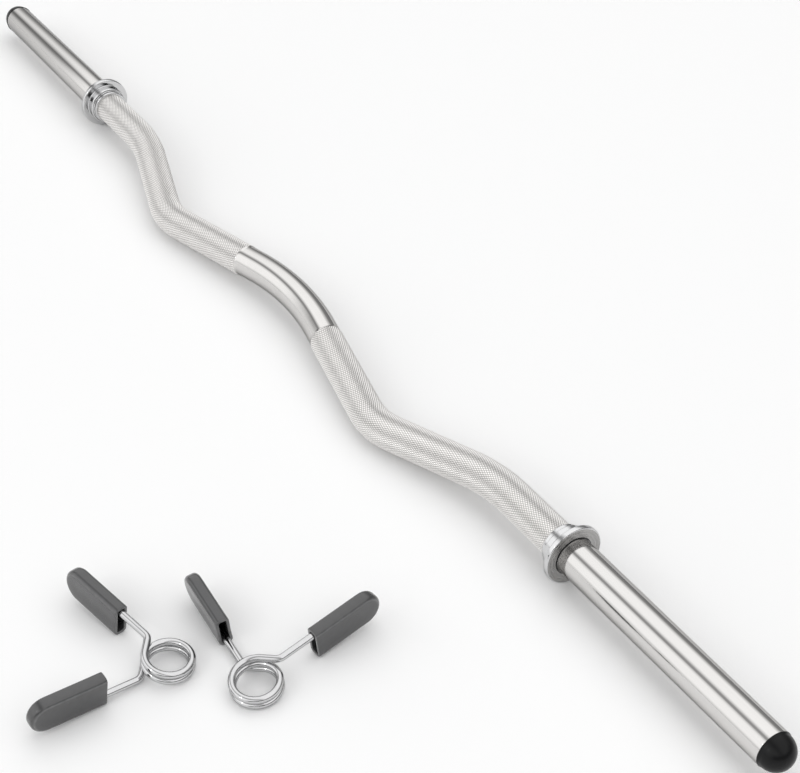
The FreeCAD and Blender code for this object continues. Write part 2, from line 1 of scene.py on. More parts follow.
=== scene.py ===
# %% [markdown]
# # A cambered curl bar and its pair of spring clips
#
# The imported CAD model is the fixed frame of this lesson. It already holds every piece at its real
# size and place, in metres, with the bar along X and the floor at Z = 0. The cells below give each
# piece its finish, and rebuild the ones whose surface needs more than a plain solid can show.

import json
import math

import bmesh
import bpy
import numpy as np
from mathutils import Matrix, Vector


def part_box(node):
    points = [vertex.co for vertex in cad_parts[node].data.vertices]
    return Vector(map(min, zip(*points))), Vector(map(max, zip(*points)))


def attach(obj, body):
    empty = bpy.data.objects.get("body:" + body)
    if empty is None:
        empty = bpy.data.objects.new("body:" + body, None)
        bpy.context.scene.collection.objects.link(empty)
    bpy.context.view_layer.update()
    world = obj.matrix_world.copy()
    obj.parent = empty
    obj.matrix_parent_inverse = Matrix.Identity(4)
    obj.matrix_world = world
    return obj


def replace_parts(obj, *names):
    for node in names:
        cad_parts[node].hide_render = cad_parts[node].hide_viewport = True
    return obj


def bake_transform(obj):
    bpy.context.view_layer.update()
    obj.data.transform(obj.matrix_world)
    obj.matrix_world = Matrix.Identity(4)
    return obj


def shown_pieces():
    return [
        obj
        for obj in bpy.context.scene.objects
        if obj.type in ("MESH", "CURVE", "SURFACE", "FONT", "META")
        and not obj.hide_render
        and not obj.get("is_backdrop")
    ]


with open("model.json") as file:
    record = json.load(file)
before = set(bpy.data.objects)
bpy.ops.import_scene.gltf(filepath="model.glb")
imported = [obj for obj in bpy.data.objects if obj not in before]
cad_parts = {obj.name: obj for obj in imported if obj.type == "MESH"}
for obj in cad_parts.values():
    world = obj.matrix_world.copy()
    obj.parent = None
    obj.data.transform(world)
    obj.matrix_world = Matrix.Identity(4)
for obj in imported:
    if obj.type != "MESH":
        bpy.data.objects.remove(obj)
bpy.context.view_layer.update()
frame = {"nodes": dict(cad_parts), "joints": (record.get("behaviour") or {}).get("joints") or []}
joints = {joint["name"]: joint for joint in frame["joints"]}
MM = 0.001
SIDES = (("left", -1), ("right", 1))

# %% [markdown]
# ## The camera
#
# The photograph looks down on the near end of the bar with a long lens, so the far end is only a
# little smaller than the near one. The camera could be placed by eye, but a fit to the bar's known
# edges gives its place, heading, dip and roll, and its focal length in pixels of the picture.

# %% Camera
IMAGE_WIDTH = 800
FOCAL_PIXELS = 1844.4
CAMERA_SPOT = Vector((1.1073, -0.4088, 0.8925))
HEADING, DIP, ROLL = (math.radians(angle) for angle in (148.44, 37.88, 0.96))


def photo_camera():
    across = Vector((math.sin(HEADING), -math.cos(HEADING), 0))
    level = Vector((math.cos(HEADING), math.sin(HEADING), 0))
    ahead = level * math.cos(DIP) - Vector((0, 0, math.sin(DIP)))
    upright = Matrix((across, across.cross(ahead), -ahead)).transposed()
    rolled = upright @ Matrix.Rotation(-ROLL, 3, "Z")
    data = bpy.data.cameras.new("photo_camera")
    data.lens = data.sensor_width * FOCAL_PIXELS / IMAGE_WIDTH
    camera = bpy.data.objects.new("photo_camera", data)
    camera.matrix_world = Matrix.Translation(CAMERA_SPOT) @ rolled.to_4x4()
    bpy.context.scene.collection.objects.link(camera)
    return camera


bpy.context.scene.camera = photo_camera()
print("lens of %.1f mm" % bpy.context.scene.camera.data.lens)

# %% [markdown]
# ## Shader sums in plain Python
#
# A finish is a net of nodes, and a net written link by link is hard to read. This small class wraps
# one socket, so that a sum such as 0.2 + 0.1 * grain adds the Math nodes by itself. Every other node
# comes from one method, which takes the node's type, its settings and what its sockets get. Colours
# go through a Mix node, because a Math node would turn them grey.

# %% Field
class Field:
    """A socket's value over a surface."""

    def __init__(self, tree, socket=None):
        self.tree, self.socket = tree, socket

    def node(self, kind, settings=None, inputs=None, output=0):
        """Add a node: its settings first, then a value or a link for each of its sockets."""
        node = self.tree.nodes.new(kind)
        for name, setting in (settings or {}).items():
            if name == "stops":
                for place, _ in setting[len(node.color_ramp.elements):]:
                    node.color_ramp.elements.new(place)
                for stop, (place, grey) in zip(node.color_ramp.elements, setting):
                    stop.position, stop.color = place, (grey, grey, grey, 1)
            else:
                setattr(node, name, setting)
        for name, given in (inputs or {}).items():
            if isinstance(given, Field):
                self.tree.links.new(given.socket, node.inputs[name])
            else:
                node.inputs[name].default_value = given
        return Field(self.tree, node.outputs[output])

    def beside(self, output):
        """Another output of the node that this field comes from."""
        return Field(self.tree, self.socket.node.outputs[output])

    def mix(self, low, high):
        """A colour between two, or between two colour fields, by this field's value."""
        return self.node("ShaderNodeMix", {"data_type": "RGBA"}, {0: self, 6: low, 7: high}, output=2)

    def math(self, operation, *values):
        return self.node("ShaderNodeMath", {"operation": operation}, dict(enumerate(values)))

    def __add__(self, other):
        return self.math("ADD", self, other)

    def __sub__(self, other):
        return self.math("SUBTRACT", self, other)

    def __rsub__(self, other):
        return self.math("SUBTRACT", other, self)

    def __mul__(self, other):
        return self.math("MULTIPLY", self, other)

    def __truediv__(self, other):
        return self.math("DIVIDE", self, other)

    def __pow__(self, other):
        return self.math("POWER", self, other)

    __radd__, __rmul__ = __add__, __mul__


print("fields add, subtract, multiply, divide and raise")

# %% [markdown]
# ## The studio
#
# Bright plating has no look of its own: it shows the room. The picture's near sleeve carries two
# broad white bands with a thin dark line between them and a dark far side, and the far sleeve the
# same in duller greys. Two rows of large soft boxes above the bar, a little apart, and weaker ones
# beyond its far end, give just that. They could be built as lamps, but a sky that changes with the
# angle round the bar's own direction is softer, and needs no objects. Past the near end and low down
# the room is dark, which draws the dark lines along the clips' wire. One small weak lamp on the clips'
# side puts glints on wire and grips, and the floor is plain and pale.

# %% Floor, sky and lamp
# Brightness of the sky by its angle from straight up, in degrees, negative on the camera's side
SKY = ((-180, 0.5), (-96, 0.6), (-84, 1.0), (-76, 1.3), (-42, 1.3), (-34, 1.05), (-25, 0.36),
       (-18, 0.4), (-9, 1.0), (-2, 1.3), (42, 1.3), (54, 0.8), (66, 0.3), (92, 0.28), (180, 0.3))
FAR_SKY = ((-180, 0.6), (-94, 0.95), (-69, 0.95), (-57, 0.8), (-45, 0.55), (-34, 0.3), (-20, 0.2),
           (-11, 0.5), (1, 0.95), (13, 1.15), (27, 1.15), (41, 0.9), (55, 0.6), (72, 0.36), (180, 0.36))
# Where the weaker boxes and the dark room begin, as parts of a direction of length 1 along X and Z
FAR_SKY_STARTS, FAR_SKY_FULL = -0.72, -0.84
DARK_STARTS, DARK_FULL, DARK_TOP, DARK_FADES = 0.35, 0.6, 0.22, 0.42
DARK_GREY = (0.06, 0.06, 0.06, 1)
FLOOR_HALF = 12.0
FLOOR_DROP = 0.2 * MM
FLOOR_COLOUR = (0.97, 0.97, 0.97, 1)
FLOOR_ROUGHNESS = 0.9
LAMP_SPOT = Vector((0.45, -1.75, 1.35))
LAMP_SIZE, LAMP_WATTS = 0.15, 1.4


def sky_greys(turn, greys):
    stops = [((angle + 180) / 360, grey) for angle, grey in greys]
    return turn.node("ShaderNodeValToRGB", {"stops": stops}, {0: turn / (2 * math.pi) + 0.5})


def fade(field, start, full):
    """A smooth step from 0 to 1 as a field goes from start to full."""
    return field.node("ShaderNodeMapRange", {"interpolation_type": "SMOOTHSTEP"},
                      {"Value": field, "From Min": start, "From Max": full})


def soft_box_sky():
    world = bpy.data.worlds.new("soft_box_sky")
    world.use_nodes = True
    start = Field(world.node_tree)
    way = start.node("ShaderNodeTexCoord", output="Generated")
    parts = start.node("ShaderNodeSeparateXYZ", inputs={0: way})
    turn = start.math("ARCTAN2", parts.beside("Y"), parts.beside("Z"))
    along, up = parts.beside("X"), parts.beside("Z")
    far = fade(along, FAR_SKY_STARTS, FAR_SKY_FULL)
    boxes = far.mix(sky_greys(turn, SKY), sky_greys(turn, FAR_SKY))
    dark = fade(along, DARK_STARTS, DARK_FULL) * (1 - fade(up, DARK_TOP, DARK_FADES))
    sky = dark.mix(boxes, DARK_GREY)
    world.node_tree.links.new(sky.socket, world.node_tree.nodes["Background"].inputs["Color"])
    bpy.context.scene.world = world


def pale_floor():
    low, high = -FLOOR_HALF, FLOOR_HALF
    corners = [(x, y, -FLOOR_DROP) for x, y in ((low, low), (high, low), (high, high), (low, high))]
    mesh = bpy.data.meshes.new("floor")
    mesh.from_pydata(corners, [], [(0, 1, 2, 3)])
    material = bpy.data.materials.new("pale_floor")
    material.use_nodes = True
    shader = material.node_tree.nodes["Principled BSDF"]
    shader.inputs["Base Color"].default_value = FLOOR_COLOUR
    shader.inputs["Roughness"].default_value = FLOOR_ROUGHNESS
    mesh.materials.append(material)
    floor = bpy.data.objects.new("floor", mesh)
    bpy.context.scene.collection.objects.link(floor)
    floor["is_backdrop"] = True


def glint_lamp():
    data = bpy.data.lights.new("glint_lamp", "AREA")
    data.size, data.energy = LAMP_SIZE, LAMP_WATTS
    lamp = bpy.data.objects.new("glint_lamp", data)
    lamp.location = LAMP_SPOT
    lamp.rotation_euler = (-LAMP_SPOT).to_track_quat("-Z", "Y").to_euler()
    bpy.context.scene.collection.objects.link(lamp)


bpy.context.scene.view_settings.view_transform = "Standard"
soft_box_sky()
pale_floor()
glint_lamp()
print("a sky of %d greys, a floor and a lamp" % (len(SKY) + len(FAR_SKY)))

# %% [markdown]
# ## Finishes
#
# Every finish starts from the Principled shader. What is the same all over goes straight on its
# sockets. What changes over the surface is a Field: fine grain in the roughness, a little in the
# colour, and a shallow bump. The scale of each grain is given in millimetres.

# %% Helpers for the finishes
def new_finish(name):
    """A material and the field that its nodes start from."""
    material = bpy.data.materials.new(name)
    material.use_nodes = True
    return material, Field(material.node_tree)


def dress(material, **sockets):
    """Give the shader's sockets their values or fields, by names with low lines for spaces."""
    shader = material.node_tree.nodes["Principled BSDF"]
    named = {socket.name.lower().replace(" ", "_"): socket for socket in shader.inputs}
    for name, given in sockets.items():
        socket = named[name]
        if isinstance(given, Field):
            material.node_tree.links.new(given.socket, socket)
        else:
            socket.default_value = given
    return material


def grain(start, size, detail=2.0, stretch=(1, 1, 1)):
    """Noise from 0 to 1 with features of about size millimetres, drawn out by stretch."""
    place = start.node("ShaderNodeTexCoord", output="Object")
    drawn = start.node("ShaderNodeVectorMath", {"operation": "DIVIDE"}, {0: place, 1: stretch})
    scale = 1 / (size * MM)
    return start.node("ShaderNodeTexNoise", inputs={"Vector": drawn, "Scale": scale, "Detail": detail})


def blend_colours(share, low, high):
    """A solid colour between two that are written as red, green and blue."""
    return share.mix((*low, 1), (*high, 1))


def bump(height, depth, strength):
    """Normals for a height from 0 to 1 that stands for depth millimetres."""
    sockets = {"Strength": strength, "Distance": depth * MM, "Height": height}
    return height.node("ShaderNodeBump", inputs=sockets)


print("finishes have grain, blended colours and bump")

# %% [markdown]
# The shaft is steel, knurled, bent and then chrome plated. Chrome is a clear mirror with a faint
# haze from polishing and a trace of warmth, and darkens a little where it is seen edge on, which is
# its specular tint. Plating grows thick and frosty on a knurl, so the diamonds are paler and duller.
# Towards the feet of their grooves the diamonds are painted darker, which is painted shade in the
# grooves; the mesh tells the material how deep each point lies through an attribute named groove:
# 0 on the tips of the diamonds, 1 at their feet.

# %% Bar chrome
EDGE_TINT = (0.45, 0.45, 0.45, 1)


def bar_chrome():
    material, start = new_finish("bar_chrome")
    haze = grain(start, 14, 4.0)
    colour = blend_colours(haze, (0.65, 0.638, 0.625), (0.71, 0.697, 0.683))
    polish = grain(start, 0.35, 1.0, (1, 40, 40))
    return dress(material, base_color=colour, metallic=1.0, specular_tint=EDGE_TINT,
                 roughness=0.05 + 0.06 * haze, normal=bump(polish, 0.002, 0.35))


def knurl_chrome():
    material, start = new_finish("knurl_chrome")
    groove = start.node("ShaderNodeAttribute", {"attribute_name": "groove"}, output="Fac")
    haze = grain(start, 14, 4.0)
    # Painted shade: the colour darkens towards the feet of the grooves
    groove_shade = groove ** 3 * (0.75 + 0.25 * haze)
    colour = blend_colours(groove_shade, (0.96, 0.943, 0.925), (0.17, 0.163, 0.155))
    return dress(material, base_color=colour, metallic=1.0,
                 roughness=0.28 + 0.08 * haze + 0.12 * groove)


chrome, frosted = bar_chrome(), knurl_chrome()
print(chrome.name, frosted.name)

# %% [markdown]
# The sleeves are tubes that were ground along their length, which leaves fine streaks that run from
# collar to cap. A noise that is drawn out along X gives them, in the roughness and as a shallow
# bump, so that the bands of light on the tube break up a little at their edges.

# %% Satin sleeve
def satin_sleeve():
    material, start = new_finish("satin_sleeve")
    streak = grain(start, 0.5, 3.0, (120, 1, 1))
    smear = grain(start, 9, 3.0, (8, 1, 1))
    colour = blend_colours(0.6 * streak + 0.4 * smear, (0.62, 0.609, 0.597), (0.72, 0.707, 0.693))
    return dress(material, base_color=colour, metallic=1.0, specular_tint=EDGE_TINT,
                 roughness=0.05 + 0.08 * streak + 0.04 * smear, normal=bump(streak, 0.006, 0.4))


satin = satin_sleeve()
print(satin.name)

# %% [markdown]
# The inner collars are turned on a lathe and plated. Rim and hub are polished, but the flange's face
# keeps the fine rings that the tool left round the axis, so it is duller; its colour is also much
# greyer than the chrome's, which is a painted dark reflection. Those rings are in the mesh; here a
# slow change with the distance from the axis goes with them. A piece's own coordinates start on the
# axis, because its object is placed there.

# %% Turned chrome
TOOL_WAVE = 2.6


def turned_chrome():
    material, start = new_finish("turned_chrome")
    haze = grain(start, 10, 3.0)
    colour = blend_colours(haze, (0.62, 0.62, 0.625), (0.7, 0.7, 0.705))
    return dress(material, base_color=colour, metallic=1.0, specular_tint=EDGE_TINT,
                 roughness=0.06 + 0.08 * haze)


def faced_steel():
    material, start = new_finish("faced_steel")
    place = start.node("ShaderNodeTexCoord", output="Object")
    parts = start.node("ShaderNodeSeparateXYZ", inputs={0: place})
    across, up = parts.beside("Y"), parts.beside("Z")
    radius = (across * across + up * up) ** 0.5
    wander = grain(start, 6, 3.0)
    wave = 0.5 + 0.5 * start.math("SINE", radius * (2 * math.pi / (TOOL_WAVE * MM)) + 2 * wander)
    # Much greyer than the chrome: a painted dark reflection, ringed as the tool's marks are
    colour = blend_colours(0.6 * wave + 0.4 * wander, (0.36, 0.355, 0.35), (0.46, 0.454, 0.448))
    return dress(material, base_color=colour, metallic=1.0, roughness=0.2 + 0.05 * wave + 0.06 * wander)


turned, faced = turned_chrome(), faced_steel()
print(turned.name, faced.name)

# %% [markdown]
# The clips are wound from drawn spring wire, plated after winding. Their grips are pouches of soft
# grey vinyl with the fine grain of a dipped skin, a slow waviness and a satin shine. Along their
# shoulders and at the lip the skin is painted paler: some wear, and a painted highlight on those
# edges. The mesh says where through an attribute of its points. The end caps are black rubber from a
# mould: darker, duller, and a little dusty.

# %% Wire, vinyl and rubber
def clip_wire():
    material, start = new_finish("clip_wire")
    haze = grain(start, 6, 3.0)
    colour = blend_colours(haze, (0.55, 0.55, 0.555), (0.64, 0.64, 0.645))
    return dress(material, base_color=colour, metallic=1.0, specular_tint=EDGE_TINT,
                 roughness=0.07 + 0.08 * haze, normal=bump(grain(start, 0.5), 0.004, 0.3))


def grey_vinyl():
    material, start = new_finish("grey_vinyl")
    skin_grain, wave, dust = grain(start, 0.45, 2.0), grain(start, 9, 1.0), grain(start, 4, 5.0)
    rub = start.node("ShaderNodeAttribute", {"attribute_name": "rub"}, output="Fac")
    # Paler along the shoulders and at the lip: wear, and a painted highlight on those edges
    paleness = 0.14 * dust + rub * (0.2 + 0.9 * dust)
    colour = blend_colours(paleness, (0.043, 0.043, 0.0445), (0.15, 0.15, 0.152))
    return dress(material, base_color=colour, specular_ior_level=0.85,
                 roughness=0.13 + 0.07 * dust + 0.05 * skin_grain,
                 normal=bump(0.14 * skin_grain + wave, 0.1, 0.6))


def black_rubber():
    material, start = new_finish("black_rubber")
    pores, dust = grain(start, 0.4, 3.0), grain(start, 7, 5.0)
    colour = blend_colours(dust ** 2, (0.003, 0.003, 0.0035), (0.009, 0.009, 0.0095))
    return dress(material, base_color=colour, specular_ior_level=0.2, roughness=0.24 + 0.12 * dust,
                 normal=bump(pores, 0.03, 0.5))


wire, vinyl, rubber = clip_wire(), grey_vinyl(), black_rubber()
print(wire.name, vinyl.name, rubber.name)

# %% [markdown]
# Inside each sleeve are pieces that only show when the bar is taken apart: oil-filled bronze bushes,
# and stamped steel washers and rings. Their CAD shapes are right as they are, so those nodes stay and
# only get a finish. The black nylon is for the thrust washers, whose rims show at the sleeves' roots,
# where their black stands in the gap as painted shade.

# %% Finishes of the inner pieces
def black_nylon():
    material, start = new_finish("black_nylon")
    flow = grain(start, 2, 4.0)
    colour = blend_colours(flow, (0.005, 0.005, 0.0055), (0.012, 0.012, 0.0125))
    return dress(material, base_color=colour, specular_ior_level=0.2, roughness=0.42 + 0.15 * flow)


def oiled_bronze():
    material, start = new_finish("oiled_bronze")
    pores = grain(start, 0.3, 2.0)
    colour = blend_colours(pores, (0.4, 0.24, 0.1), (0.62, 0.42, 0.21))
    return dress(material, base_color=colour, metallic=1.0, roughness=0.3 + 0.25 * pores,
                 normal=bump(pores, 0.02, 0.5))


def stamped_steel():
    material, start = new_finish("stamped_steel")
    oil = grain(start, 3, 4.0)
    colour = blend_colours(oil, (0.36, 0.36, 0.37), (0.52, 0.52, 0.53))
    return dress(material, base_color=colour, metallic=1.0, roughness=0.28 + 0.2 * oil)


nylon, bronze, steel = black_nylon(), oiled_bronze(), stamped_steel()
INNER_FINISHES = {"inner_bush": bronze, "outer_bush": bronze,
                  "retaining_washer": steel, "retaining_ring": steel}
for side, _ in SIDES:
    for label, finish in INNER_FINISHES.items():
        node = frame["nodes"]["%s_%s" % (side, label)]
        node.data.materials.clear()
        node.data.materials.append(finish)
print("%d inner pieces finished" % (len(SIDES) * len(INNER_FINISHES)))

# %% [markdown]
# ## Pieces from rings
#
# Nearly everything here is round: a turned piece, a bent bar, a wire. Each is a row of rings with a
# skin between them. Blender's Screw and curve bevel could make some of these, but rings made by a
# formula give the same even quads for all of them, and let the knurl set each point's radius.

# %% Skins over rings
SHARP_ANGLE = math.radians(32)


def skin(count, around, closed=False):
    """Quads between count rings of so many points, from the last back to the first if closed."""
    first = np.arange(count if closed else count - 1)[:, None] * around
    step = np.arange(around)[None, :]
    after = (first + around) % (count * around)
    beside = (step + 1) % around
    corners = [first + step, first + beside, after + beside, after + step]
    return np.stack(corners, axis=-1).reshape(-1, 4)


def end_faces(count, around):
    """The two faces that close a row of rings."""
    last = (count - 1) * around
    return [list(range(around)), list(range(last, last + around))]


def new_piece(name, points, faces, material, slot, *nodes):
    """A smooth mesh piece that stands for CAD nodes."""
    mesh = bpy.data.meshes.new(name)
    mesh.from_pydata(points.reshape(-1, 3).tolist(), [], faces)
    shape = bmesh.new()
    shape.from_mesh(mesh)
    bmesh.ops.recalc_face_normals(shape, faces=shape.faces)
    shape.to_mesh(mesh)
    shape.free()
    mesh.shade_smooth()
    mesh.set_sharp_from_angle(angle=SHARP_ANGLE)
    mesh.materials.append(material)
    piece = bpy.data.objects.new(name, mesh)
    bpy.context.scene.collection.objects.link(piece)
    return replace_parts(piece, *nodes)


def set_down(piece, place):
    """Turn a piece's mesh as its place is turned, and move its object there."""
    piece.data.transform(place.to_3x3().to_4x4())
    piece.location = place.to_translation()


print("sharp edges from %.0f degrees" % math.degrees(SHARP_ANGLE))

# %% [markdown]
# ## Turned pieces at the bar's ends
#
# Collars, sleeves and caps are turned or moulded round one axis. Each has an outline of places along
# X and radii, in millimetres, and a radius for every corner, because no real edge is quite sharp:
# a hair of rounding is what catches the light along it.

# %% Outlines with rounded corners
ROUND_STEPS = 5
TURN_STEPS = 128
WELD_REACH = 0.001
axis_spot = Vector(joints["right_sleeve_spin"]["pos_m"])


def rounded(outline, closed=True):
    """An outline of (along, radius, corner radius), with its corners as short arcs."""
    spots = [Vector(point[:2]) for point in outline]
    line = []
    for index, (here, (_, _, corner)) in enumerate(zip(spots, outline)):
        if corner == 0 or not closed and index in (0, len(spots) - 1):
            line.append(here)
            continue
        back = (spots[index - 1] - here).normalized()
        onward = (spots[(index + 1) % len(spots)] - here).normalized()
        half = back.angle(onward) / 2
        centre = here + (back + onward).normalized() * corner / math.sin(half)
        start = here + back * corner / math.tan(half) - centre
        end = here + onward * corner / math.tan(half) - centre
        for step in range(ROUND_STEPS + 1):
            line.append(centre + start.slerp(end, step / ROUND_STEPS))
    return line


def turned_piece(name, outline, sign, material, slot, *nodes):
    """An outline, closed or from axis to axis, turned about the sleeve axis at one end of the bar."""
    closed = min(point[1] for point in outline) > 0
    line = rounded(outline, closed)
    angles = np.linspace(0, 2 * math.pi, TURN_STEPS, endpoint=False)
    along, radius = np.array(line).T[:, :, None]
    spots = np.broadcast_arrays(sign * along, radius * np.cos(angles), radius * np.sin(angles))
    faces = skin(len(line), TURN_STEPS, closed).tolist()
    piece = new_piece(name, np.stack(spots, axis=-1) * MM, faces, material, slot, *nodes)
    if not closed:
        weld_tips(piece)
    piece.location = axis_spot
    return piece


def weld_tips(piece):
    """Join the points that meet on the axis."""
    shape = bmesh.new()
    shape.from_mesh(piece.data)
    bmesh.ops.remove_doubles(shape, verts=shape.verts, dist=WELD_REACH * MM)
    bmesh.ops.recalc_face_normals(shape, faces=shape.faces)
    shape.to_mesh(piece.data)
    shape.free()


def reach(node):
    """A right-hand node's two ends along X and its radius about the sleeve axis, in millimetres."""
    low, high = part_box(node)
    return low.x / MM, high.x / MM, (high.z - axis_spot.z) / MM


print("sleeve axis at y %.1f and z %.1f mm" % (axis_spot.y / MM, axis_spot.z / MM))

# %% [markdown]
# An inner collar is one turned piece: a neck over the end of the knurl, a thicker hub, and the thin
# flange that stops the plates. The lathe tool leaves shallow rings on the flange's face. They could
# be a bump, but rings finer than a pixel only come out right as real facets, which each pixel then
# averages.

# %% Inner collars
SEAT_RADIUS, NECK_RADIUS, HUB_RADIUS, RECESS_RADIUS = 12.02, 15.5, 17.5, 14.3
NECK_LENGTH, HUB_LENGTH, RECESS_DEPTH = 4, 8, 2
shoulder_x, face_x, flange_radius = reach("right_inner_collar")
hub_x = shoulder_x + NECK_LENGTH
flange_x = hub_x + HUB_LENGTH
recess_x = face_x - RECESS_DEPTH
NECK_ROUND, NECK_FILLET, HUB_ROUND, HUB_FILLET, RIM_ROUND, MOUTH_ROUND = 0.7, 0.5, 0.8, 0.7, 0.9, 0.1
TOOL_RINGS, TOOL_DEPTH = 22, 0.055
face_edge = flange_radius - RIM_ROUND
tool_step = (face_edge - RECESS_RADIUS - MOUTH_ROUND) / (2 * TOOL_RINGS)
tool_marks = [(face_x - TOOL_DEPTH * (step % 2), face_edge - tool_step * step, 0)
              for step in range(1, 2 * TOOL_RINGS)]
COLLAR = [
    (shoulder_x, SEAT_RADIUS, 0), (shoulder_x, NECK_RADIUS, NECK_ROUND),
    (hub_x, NECK_RADIUS, NECK_FILLET), (hub_x, HUB_RADIUS, HUB_ROUND),
    (flange_x, HUB_RADIUS, HUB_FILLET), (flange_x, flange_radius, RIM_ROUND),
    (face_x, flange_radius, RIM_ROUND), *tool_marks,
    (face_x, RECESS_RADIUS, MOUTH_ROUND), (recess_x, RECESS_RADIUS, 0), (recess_x, SEAT_RADIUS, 0)]


def face_off(collar):
    """Give all that lies inside the rim, on the sleeve's side, the duller finish with its painted dark
    reflection.
    """
    collar.data.materials.append(faced)
    for face in collar.data.polygons:
        outward = abs(face.center.x) / MM > (flange_x + recess_x) / 2
        inside = face.center.yz.length / MM < face_edge
        face.material_index = int(outward and inside)


for side, sign in SIDES:
    collar = turned_piece(side + "_collar", COLLAR, sign, turned, "bar_chrome", side + "_inner_collar")
    face_off(collar)
    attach(collar, "bar")
print("collars from x %.0f to %.0f mm" % (shoulder_x, face_x))

# %% [markdown]
# A shallow recess in the flange's face takes the sleeve's root. The black thrust washer at its bottom
# has a lip that fills the gap round the sleeve up to the face, so its black shows there as a thin dark
# ring of painted shade.

# %% Thrust washers
WASHER_BORE, LIP_BORE, LIP_SET_BACK, LIP_GAP = 9.18, 13.56, 0.1, 0.02
_, washer_x, washer_radius = reach("right_thrust_washer")
lip_x, lip_radius = face_x - LIP_SET_BACK, RECESS_RADIUS - LIP_GAP
WASHER_ROUND, LIP_EDGE = 0.1, 0.05
WASHER = [
    (recess_x, WASHER_BORE, WASHER_ROUND), (recess_x, washer_radius, WASHER_ROUND),
    # The lip: black that fills the gap round the sleeve, a thin ring of painted shade
    (washer_x, washer_radius, 0), (washer_x, lip_radius, 0), (lip_x, lip_radius, LIP_EDGE),
    (lip_x, LIP_BORE, LIP_EDGE), (washer_x, LIP_BORE, 0), (washer_x, WASHER_BORE, WASHER_ROUND)]
for side, sign in SIDES:
    washer = turned_piece(side + "_washer", WASHER, sign, nylon, "black_nylon", side + "_thrust_washer")
    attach(washer, "bar")
print("washers with a lip up to %.1f mm" % lip_x)

# %% [markdown]
# A sleeve is a length of tube. The end cap plugs it: a rubber dome with a ribbed stem that grips
# the bore. Between the two the tube's rounded end catches a thin bright ring of light.

# %% Sleeves and end caps
TUBE_BORE, BORE_ROUND, ROOT_ROUND, TUBE_ROUND = 10.7, 0.2, 0.2, 0.8
STEM_RADIUS, STEM_ROUND = 10.0, 0.5
RIB_RADIUS, RIB_ROUND, RIB_STEP = 10.6, 0.2, 2
RIB_PLACES = (1, 3)
CAP_BROW, BROW_ROUND, DOME_STEPS = 1.65, 0.4, 24
sleeve_x, tube_end_x, sleeve_radius = reach("right_sleeve")
stem_x, tip_x, cap_radius = reach("right_end_cap")
TUBE = [(sleeve_x, TUBE_BORE, BORE_ROUND), (sleeve_x, sleeve_radius, ROOT_ROUND),
        (tube_end_x, sleeve_radius, TUBE_ROUND), (tube_end_x, TUBE_BORE, BORE_ROUND)]


def cap_outline():
    """Stem, ribs, brow and dome, from axis to axis."""
    line = [(stem_x, 0, 0), (stem_x, STEM_RADIUS, STEM_ROUND)]
    for place in RIB_PLACES:
        foot = stem_x + place * RIB_STEP
        line += [(foot, STEM_RADIUS, 0), (foot + RIB_STEP / 2, RIB_RADIUS, RIB_ROUND),
                 (foot + RIB_STEP, STEM_RADIUS, 0)]
    line += [(tube_end_x, STEM_RADIUS, 0), (tube_end_x, cap_radius, BROW_ROUND)]
    brow_x = tube_end_x + CAP_BROW
    for step in range(DOME_STEPS + 1):
        turn = math.pi / 2 * step / DOME_STEPS
        along = brow_x + (tip_x - brow_x) * math.sin(turn)
        line.append((along, cap_radius * max(math.cos(turn), 0), 0))
    return line


for side, sign in SIDES:
    sleeve = turned_piece(side + "_tube", TUBE, sign, satin, "satin_sleeve", side + "_sleeve")
    cap = turned_piece(side + "_cap", cap_outline(), sign, rubber, "black_rubber", side + "_end_cap")
    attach(sleeve, side + "_sleeve")
    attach(cap, side + "_sleeve")
print("tube from x %.1f to %.1f mm, cap to %.1f mm" % (sleeve_x, tube_end_x, tip_x))

# %% [markdown]
# ## The bent shaft
#
# The bar was knurled straight and then bent five times, so its line is a chain of straights and
# arcs that touch smoothly. A chain is easiest as steps of (length, turn): walking along it gives the
# place and heading at any distance from the middle, exactly, without a curve object to sample. On the
# floor the bar rests on its two flanges and leans over until its valleys touch down as well.

# %% The bend line
APEX_RADIUS, VALLEY_RADIUS, OUTER_RADIUS = 260, 70, 155
INNER_SLOPE, OUTER_SLOPE = math.radians(11.63), math.radians(17.96)
OUTER_RUN, END_RUN = 73.7, 54.5
SMOOTH_RADIUS, KNURL_RADIUS = 13.25, 13.75
KNURL_X = 67


def walk(line, distance):
    """Place and heading after a distance along steps of (length, turn)."""
    spot, heading = Vector((0, 0)), 0.0
    for length, turn in line:
        part = min(max(distance, 0), length)
        bend = turn * part / length if length else 0
        chord = part * (math.sin(bend / 2) / (bend / 2) if bend else 1)
        spot += chord * Vector((math.cos(heading + bend / 2), math.sin(heading + bend / 2)))
        heading += bend
        distance -= part
    return spot, heading


def bend_line(inner_run):
    return [(APEX_RADIUS * INNER_SLOPE, -INNER_SLOPE), (inner_run, 0),
            (VALLEY_RADIUS * (INNER_SLOPE + OUTER_SLOPE), INNER_SLOPE + OUTER_SLOPE), (OUTER_RUN, 0),
            (OUTER_RADIUS * OUTER_SLOPE, -OUTER_SLOPE), (END_RUN, 0)]


def line_length(line):
    return sum(length for length, _ in line)


# The run between centre and valley takes up what the rest leaves of the way to the collar
rest = bend_line(0)
inner_run = (shoulder_x - walk(rest, line_length(rest))[0].x) / math.cos(INNER_SLOPE)
half_line = bend_line(inner_run)
half_length = line_length(half_line)
line_end = walk(half_line, half_length)[0]
valley_length = line_length(half_line[:2]) + VALLEY_RADIUS * INNER_SLOPE
valley_depth = line_end.y - walk(half_line, valley_length)[0].y
lean = math.asin((flange_radius - KNURL_RADIUS) / valley_depth)
